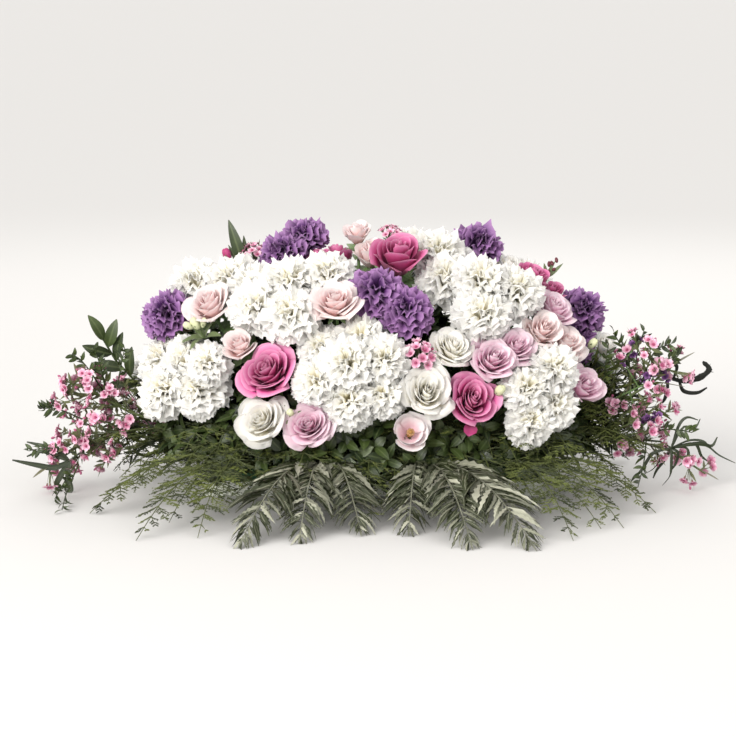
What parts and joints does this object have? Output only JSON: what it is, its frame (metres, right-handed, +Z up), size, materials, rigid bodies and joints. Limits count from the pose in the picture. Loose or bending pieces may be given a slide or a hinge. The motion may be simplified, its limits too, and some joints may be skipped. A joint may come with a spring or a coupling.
{
  "type": "casket spray",
  "caption": "Half-couch casket spray: a long domed mound of carnations, roses and wax flower over fern, stems in wet foam on a flat-bottomed saddle.",
  "frame": {"origin": "centre of the saddle's flat underside, on the surface it stands on", "axes": "+X along the spray's length, to the right as seen from the front; -Y towards the front; +Z up"},
  "size_m": [1.0188, 0.8332, 0.3949],
  "materials": {
    "petal_white": "soft matte petals, creamy white with green-grey shade",
    "petal_purple": "soft matte petals, violet with lilac edges",
    "petal_magenta": "velvety petals, deep pink",
    "petal_lavender": "satin petals, lilac pink",
    "petal_blush": "satin petals, pale pink",
    "petal_cream": "satin petals, ivory",
    "wax_flower_pink": "waxy petals, pink with a dark centre",
    "fern_grey_green": "satin leaflets, grey green",
    "fern_dark_green": "matte fine leaflets, dark green",
    "leaf_green": "satin leaves, dark green",
    "berry_red": "satin berries, dark red",
    "bud_green": "satin buds, pale green",
    "foam_green": "wet porous foam, dark green",
    "tray_white": "moulded plastic, matte white"
  },
  "bodies": {
    "root": {"berry_twig_right": "berry_red", "carnations_purple_back_left": "petal_purple", "carnations_purple_back_right": "petal_purple", "carnations_purple_centre": "petal_purple", "carnations_purple_left": "petal_purple", "carnations_purple_right": "petal_purple", "carnations_purple_top_left": "petal_purple", "carnations_purple_top_right": "petal_purple", "carnations_white_back_centre": "petal_white", "carnations_white_back_left": "petal_white", "carnations_white_back_right": "petal_white", "carnations_white_centre": "petal_white", "carnations_white_left_front": "petal_white", "carnations_white_left_upper": "petal_white", "carnations_white_right_front": "petal_white", "carnations_white_right_upper": "petal_white", "curly_twig_right": "leaf_green", "fern_back_left": "fern_dark_green", "fern_back_mid_left": "fern_grey_green", "fern_back_mid_right": "fern_grey_green", "fern_back_right": "fern_dark_green", "fern_front_left": "fern_dark_green", "fern_front_mid_left": "fern_grey_green", "fern_front_mid_right": "fern_grey_green", "fern_front_right": "fern_dark_green", "foam": "foam_green", "leaf_top_left": "leaf_green", "leafy_stem_left": "leaf_green", "lisianthus_buds_left": "bud_green", "lisianthus_front": "petal_blush", "roses_blush_back": "petal_blush", "roses_blush_bud": "petal_blush", "roses_blush_centre": "petal_blush", "roses_blush_left": "petal_blush", "roses_blush_right": "petal_blush", "roses_blush_top": "petal_blush", "roses_cream_end": "petal_cream", "roses_cream_front": "petal_cream", "roses_cream_left": "petal_cream", "roses_cream_right": "petal_cream", "roses_cream_top": "petal_cream", "roses_lavender_back": "petal_lavender", "roses_lavender_end": "petal_lavender", "roses_lavender_front": "petal_lavender", "roses_lavender_right": "petal_lavender", "roses_lavender_upper_right": "petal_lavender", "roses_magenta_back": "petal_magenta", "roses_magenta_crest": "petal_magenta", "roses_magenta_front": "petal_magenta", "roses_magenta_left": "petal_magenta", "roses_magenta_right": "petal_magenta", "roses_magenta_top": "petal_magenta", "saddle": "tray_white", "wax_flower_centre": "wax_flower_pink", "wax_flower_left_lower": "wax_flower_pink", "wax_flower_left_upper": "wax_flower_pink", "wax_flower_right_lower": "wax_flower_pink", "wax_flower_right_upper": "wax_flower_pink", "wax_flower_top": "wax_flower_pink", "wax_flower_top_left": "wax_flower_pink"}
  },
  "joints": []
}
